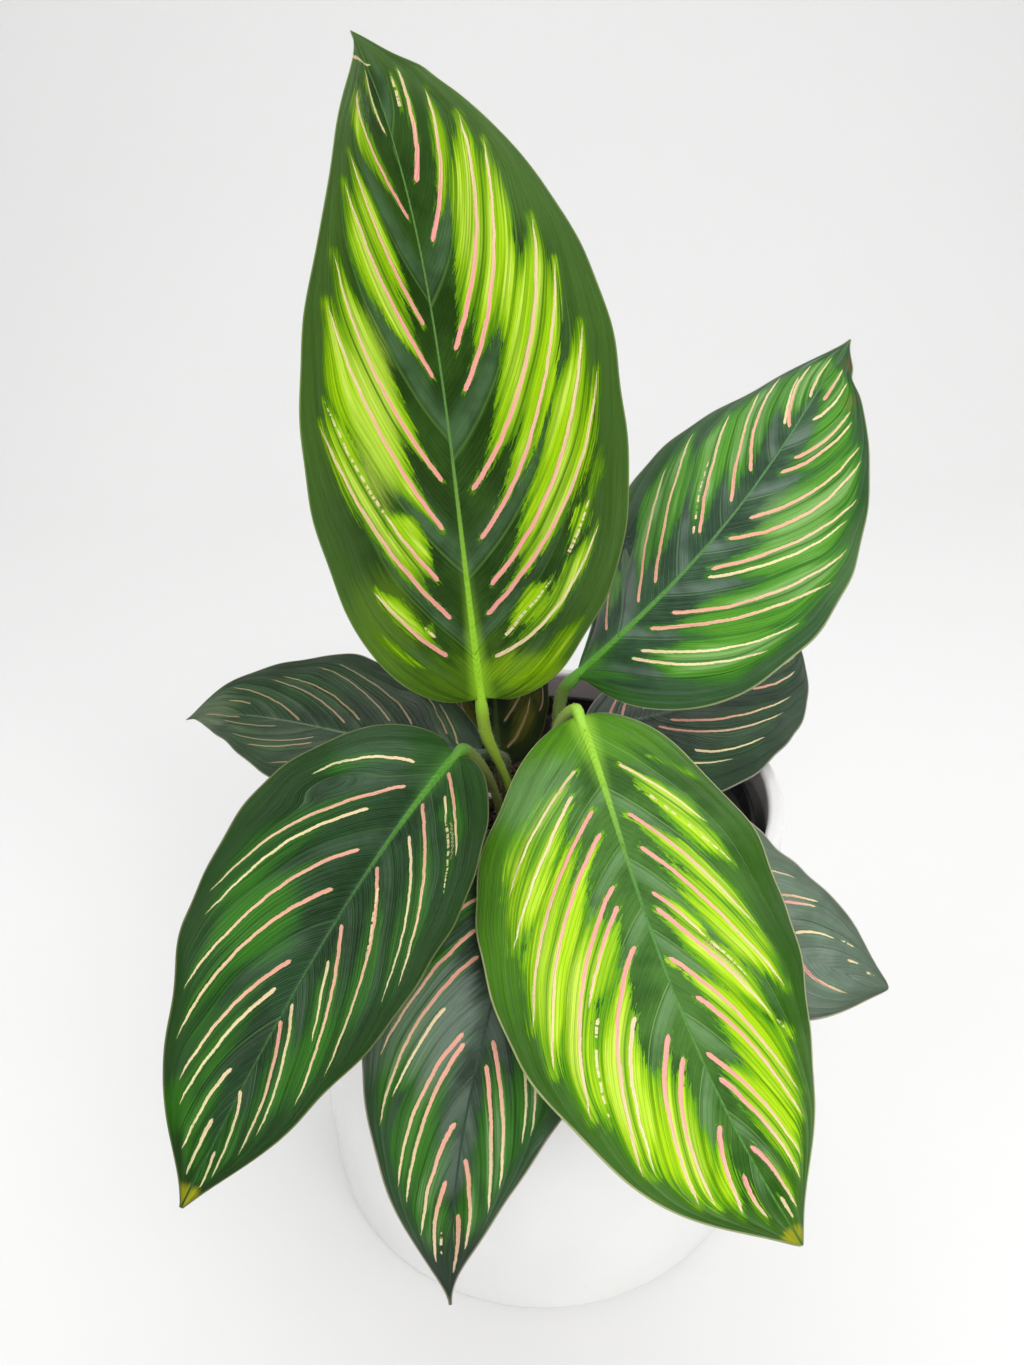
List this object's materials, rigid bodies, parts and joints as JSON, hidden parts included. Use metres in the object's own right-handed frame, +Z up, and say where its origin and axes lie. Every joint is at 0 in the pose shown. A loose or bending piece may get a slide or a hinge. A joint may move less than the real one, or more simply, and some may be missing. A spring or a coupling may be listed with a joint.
{
  "type": "potted beauty star calathea",
  "caption": "Potted patterned foliage plant: broad striped leaves on slim stalks, rising from soil in a nursery pot inside a plain cylindrical planter.",
  "frame": {"origin": "centre of the planter's flat underside", "axes": "+Z up along the planter's axis, -Y towards the viewer of the picture, +X to the right"},
  "size_m": [0.2104, 0.217, 0.3457],
  "materials": {
    "glaze": "gloss",
    "pot_plastic": "satin",
    "soil": "matte",
    "bright_blade": "satin",
    "dark_blade": "satin",
    "stalk": "satin"
  },
  "bodies": {
    "root": {"planter": "glaze", "nursery_pot": "pot_plastic", "soil": "soil", "back_leaf_blade": "bright_blade", "back_leaf_stalk": "stalk", "right_leaf_blade": "dark_blade", "right_leaf_stalk": "stalk", "front_right_leaf_blade": "bright_blade", "front_right_leaf_stalk": "stalk", "front_left_leaf_blade": "dark_blade", "front_left_leaf_stalk": "stalk", "front_leaf_blade": "dark_blade", "front_leaf_stalk": "stalk", "trailing_leaf_blade": "dark_blade", "trailing_leaf_stalk": "stalk", "lower_right_leaf_blade": "dark_blade", "lower_right_leaf_stalk": "stalk", "left_leaf_blade": "dark_blade", "left_leaf_stalk": "stalk", "inner_leaf_blade": "dark_blade", "inner_leaf_stalk": "stalk"}
  },
  "joints": []
}
